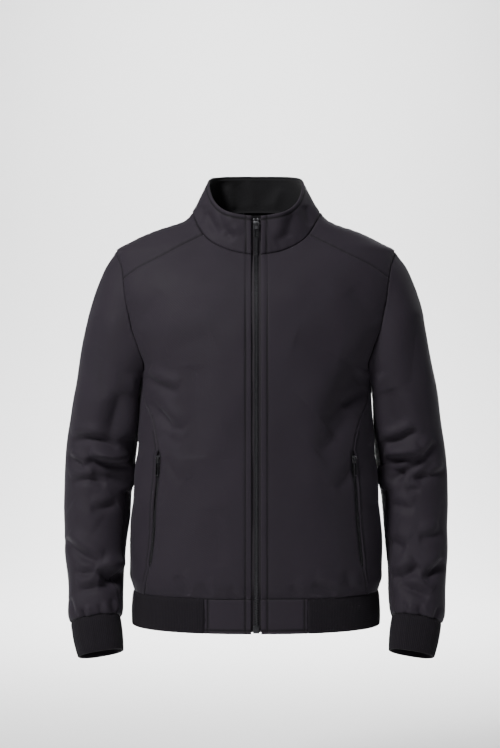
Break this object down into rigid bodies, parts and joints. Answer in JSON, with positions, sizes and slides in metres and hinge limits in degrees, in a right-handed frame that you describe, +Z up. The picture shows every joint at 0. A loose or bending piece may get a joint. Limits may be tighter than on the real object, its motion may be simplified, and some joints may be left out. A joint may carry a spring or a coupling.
{
  "type": "fleece-lined softshell jacket",
  "caption": "Zip-front softshell jacket with stand collar, shoulder yokes, zip pockets in the side-front seams, rib-knit cuffs and hem, in its worn form.",
  "frame": {"origin": "on the centre plane, level with the inner ends of the shoulder seams, midway between front and back at the shoulder, where the wearer's shoulders hold the jacket", "axes": "+Z up, the front faces -Y, +X is the wearer's left"},
  "size_m": [0.6238, 0.2538, 0.7836],
  "materials": {
    "softshell": "matte charcoal softshell with a slight sheen",
    "rib_knit": "matte black rib knit",
    "zip_tape": "black woven tape with black moulded teeth",
    "black_metal": "gunmetal, satin"
  },
  "bodies": {
    "jacket": {"front_right": "softshell", "front_left": "softshell", "front_yoke_right": "softshell", "front_yoke_left": "softshell", "side_panel_right": "softshell", "side_panel_left": "softshell", "back": "softshell", "collar": "softshell", "sleeve_upper_right": "softshell", "sleeve_upper_left": "softshell", "sleeve_under_right": "softshell", "sleeve_under_left": "softshell", "hem_tab_right": "softshell", "hem_tab_left": "softshell", "cuff_right": "rib_knit", "cuff_left": "rib_knit", "hem_rib": "rib_knit", "front_zip": "zip_tape", "pocket_zip_right": "zip_tape", "pocket_zip_left": "zip_tape", "front_slider": "black_metal", "pocket_right_slider": "black_metal", "pocket_left_slider": "black_metal"},
    "front_pull": {"front_pull": "black_metal"},
    "pocket_right_pull": {"pocket_right_pull": "black_metal"},
    "pocket_left_pull": {"pocket_left_pull": "black_metal"}
  },
  "joints": [
    {"name": "front_pull_hinge", "type": "hinge", "parent": "jacket", "child": "front_pull", "pos_m": [0, -0.07743, -0.0245], "axis": [-1, 0, 0], "range_deg": [0, 160]},
    {"name": "pocket_right_pull_hinge", "type": "hinge", "parent": "jacket", "child": "pocket_right_pull", "pos_m": [-0.15464, -0.09344, -0.39344], "axis": [-0.7612, 0.6454, 0.0633], "range_deg": [0, 160]},
    {"name": "pocket_left_pull_hinge", "type": "hinge", "parent": "jacket", "child": "pocket_left_pull", "pos_m": [0.15464, -0.09344, -0.39344], "axis": [-0.7612, -0.6454, -0.0633], "range_deg": [0, 160]}
  ]
}
